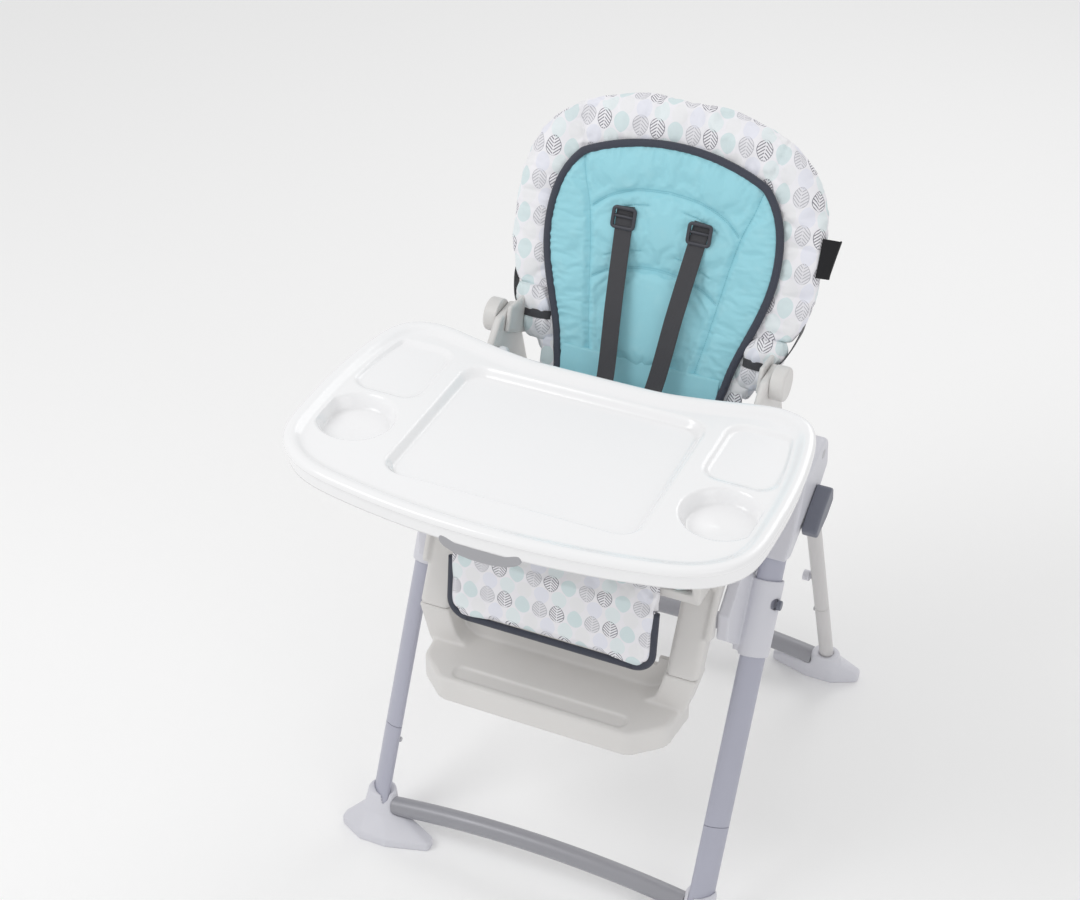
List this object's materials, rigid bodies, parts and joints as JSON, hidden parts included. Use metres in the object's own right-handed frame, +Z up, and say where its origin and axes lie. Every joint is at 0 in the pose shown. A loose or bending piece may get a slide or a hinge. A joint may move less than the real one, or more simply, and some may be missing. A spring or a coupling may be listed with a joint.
{
  "type": "baby high chair",
  "caption": "Folding baby high chair with a height-adjustable padded seat, reclining back, harness, footrest and sliding white tray with a lift-off top.",
  "frame": {"origin": "on the floor, under the middle of the whole chair", "axes": "+Z up, the child faces -Y, the child's left hand is at +X"},
  "size_m": [0.6472, 0.78, 0.9971],
  "materials": {
    "front_paint": "satin powder coat, lavender grey",
    "rear_paint": "satin powder coat, light warm grey",
    "bar_paint": "satin powder coat, mid grey",
    "frame_plastic": "fine moulded grain, pale grey",
    "shell_plastic": "fine moulded grain, light warm grey",
    "lever_plastic": "fine moulded grain, blue grey",
    "tray_plastic": "glossy white",
    "leaf_fabric": "woven polyester with a leaf print",
    "teal_fabric": "satin woven polyester, pale teal",
    "webbing": "polypropylene webbing, charcoal",
    "tag_fabric": "woven tape, black",
    "buckle_plastic": "moulded nylon, charcoal",
    "button_plastic": "moulded nylon, grey",
    "steel": "zinc plated",
    "piping_fabric": "twill piping, dark slate"
  },
  "bodies": {
    "front_frame": {"front_leg_left": "front_paint", "front_leg_right": "front_paint", "front_extension_left": "front_paint", "front_extension_right": "front_paint", "front_foot_left": "frame_plastic", "front_foot_right": "frame_plastic", "front_cross_bar": "bar_paint", "hub_housing_left": "frame_plastic", "hub_housing_right": "frame_plastic", "pivot_pins": "steel"},
    "rear_frame": {"rear_knuckle_left": "frame_plastic", "rear_knuckle_right": "frame_plastic", "rear_leg_left": "rear_paint", "rear_leg_right": "rear_paint", "rear_extension_left": "rear_paint", "rear_extension_right": "rear_paint", "rear_foot_left": "frame_plastic", "rear_foot_right": "frame_plastic", "rear_cross_bar": "bar_paint", "rear_knobs": "frame_plastic"},
    "seat": {"seat_shell": "shell_plastic", "footrest": "shell_plastic", "seat_pad": "leaf_fabric", "seat_insert": "teal_fabric", "calf_pad": "leaf_fabric", "crotch_strap": "webbing", "harness_buckle": "buckle_plastic", "height_sleeve_left": "frame_plastic", "height_sleeve_right": "frame_plastic", "recline_cap_left": "shell_plastic", "recline_cap_right": "shell_plastic", "armrest_rail_left": "shell_plastic", "armrest_rail_right": "shell_plastic", "waist_strap_left": "webbing", "waist_strap_right": "webbing", "seat_wing_left": "leaf_fabric", "seat_wing_right": "leaf_fabric"},
    "backrest": {"backrest_shell": "shell_plastic", "back_pad": "leaf_fabric", "back_insert": "teal_fabric", "back_elastic": "webbing", "fabric_tag": "tag_fabric", "recline_bracket": "shell_plastic", "shoulder_strap_left": "webbing", "shoulder_strap_right": "webbing", "strap_slider_left": "buckle_plastic", "strap_slider_right": "buckle_plastic"},
    "tray": {"tray_base": "shell_plastic"},
    "tray_top": {"tray_top": "tray_plastic"},
    "tray_lever": {"tray_lever": "button_plastic"},
    "recline_handle": {"recline_handle": "lever_plastic"},
    "buckle_button": {"buckle_button": "button_plastic"},
    "fold_lever_left": {"fold_lever_left": "lever_plastic"},
    "fold_lever_right": {"fold_lever_right": "lever_plastic"},
    "height_latch_left": {"height_latch_left": "lever_plastic"},
    "height_latch_right": {"height_latch_right": "lever_plastic"},
    "front_snap_left": {"front_snap_left": "steel"},
    "front_snap_right": {"front_snap_right": "steel"},
    "rear_snap_left": {"rear_snap_left": "steel"},
    "rear_snap_right": {"rear_snap_right": "steel"}
  },
  "joints": [
    {"name": "frame_fold", "type": "hinge", "parent": "front_frame", "child": "rear_frame", "pos_m": [0, 0.11487, 0.602], "axis": [1, 0, 0], "range_deg": [-34, 0]},
    {"name": "seat_height", "type": "slide", "parent": "front_frame", "child": "seat", "axis": [0, 0.4462, 0.8949], "range_m": [-0.19, 0]},
    {"name": "recline", "type": "hinge", "parent": "seat", "child": "backrest", "pos_m": [0, 0.108, 0.703], "axis": [-1, 0, 0], "range_deg": [0, 28]},
    {"name": "recline_squeeze", "type": "slide", "parent": "backrest", "child": "recline_handle", "axis": [0, 0.373, 0.9278], "range_m": [0, 0.008], "stiffness_N_per_m": 900, "springref_m": -0.002},
    {"name": "tray_slide", "type": "slide", "parent": "seat", "child": "tray", "axis": [0, -1, 0], "range_m": [0, 0.168]},
    {"name": "tray_top_lift", "type": "slide", "parent": "tray", "child": "tray_top", "axis": [0, 0, 1], "range_m": [0, 0.12]},
    {"name": "tray_release", "type": "slide", "parent": "tray", "child": "tray_lever", "axis": [0, 0, 1], "range_m": [0, 0.004], "stiffness_N_per_m": 900, "springref_m": -0.002},
    {"name": "buckle_press", "type": "slide", "parent": "seat", "child": "buckle_button", "axis": [0, 1, 0], "range_m": [0, 0.0025], "stiffness_N_per_m": 900, "springref_m": -0.002},
    {"name": "fold_lever_left_pull", "type": "hinge", "parent": "front_frame", "child": "fold_lever_left", "pos_m": [0.2875, 0.04242, 0.52961], "axis": [1, 0, 0], "range_deg": [0, 12], "stiffness_Nm_per_rad": 2, "springref_deg": -5.73},
    {"name": "height_latch_left_press", "type": "slide", "parent": "seat", "child": "height_latch_left", "axis": [-1, 0, 0], "range_m": [0, 0.002], "stiffness_N_per_m": 900, "springref_m": -0.002},
    {"name": "front_snap_left_press", "type": "slide", "parent": "front_frame", "child": "front_snap_left", "axis": [1, 0, 0], "range_m": [0, 0.0025], "stiffness_N_per_m": 900, "springref_m": -0.002},
    {"name": "rear_snap_left_press", "type": "slide", "parent": "rear_frame", "child": "rear_snap_left", "axis": [1, 0, 0], "range_m": [0, 0.0025], "stiffness_N_per_m": 900, "springref_m": -0.002},
    {"name": "fold_lever_right_pull", "type": "hinge", "parent": "front_frame", "child": "fold_lever_right", "pos_m": [-0.2875, 0.04242, 0.52961], "axis": [1, 0, 0], "range_deg": [0, 12], "stiffness_Nm_per_rad": 2, "springref_deg": -5.73},
    {"name": "height_latch_right_press", "type": "slide", "parent": "seat", "child": "height_latch_right", "axis": [1, 0, 0], "range_m": [0, 0.002], "stiffness_N_per_m": 900, "springref_m": -0.002},
    {"name": "front_snap_right_press", "type": "slide", "parent": "front_frame", "child": "front_snap_right", "axis": [-1, 0, 0], "range_m": [0, 0.0025], "stiffness_N_per_m": 900, "springref_m": -0.002},
    {"name": "rear_snap_right_press", "type": "slide", "parent": "rear_frame", "child": "rear_snap_right", "axis": [-1, 0, 0], "range_m": [0, 0.0025], "stiffness_N_per_m": 900, "springref_m": -0.002}
  ]
}
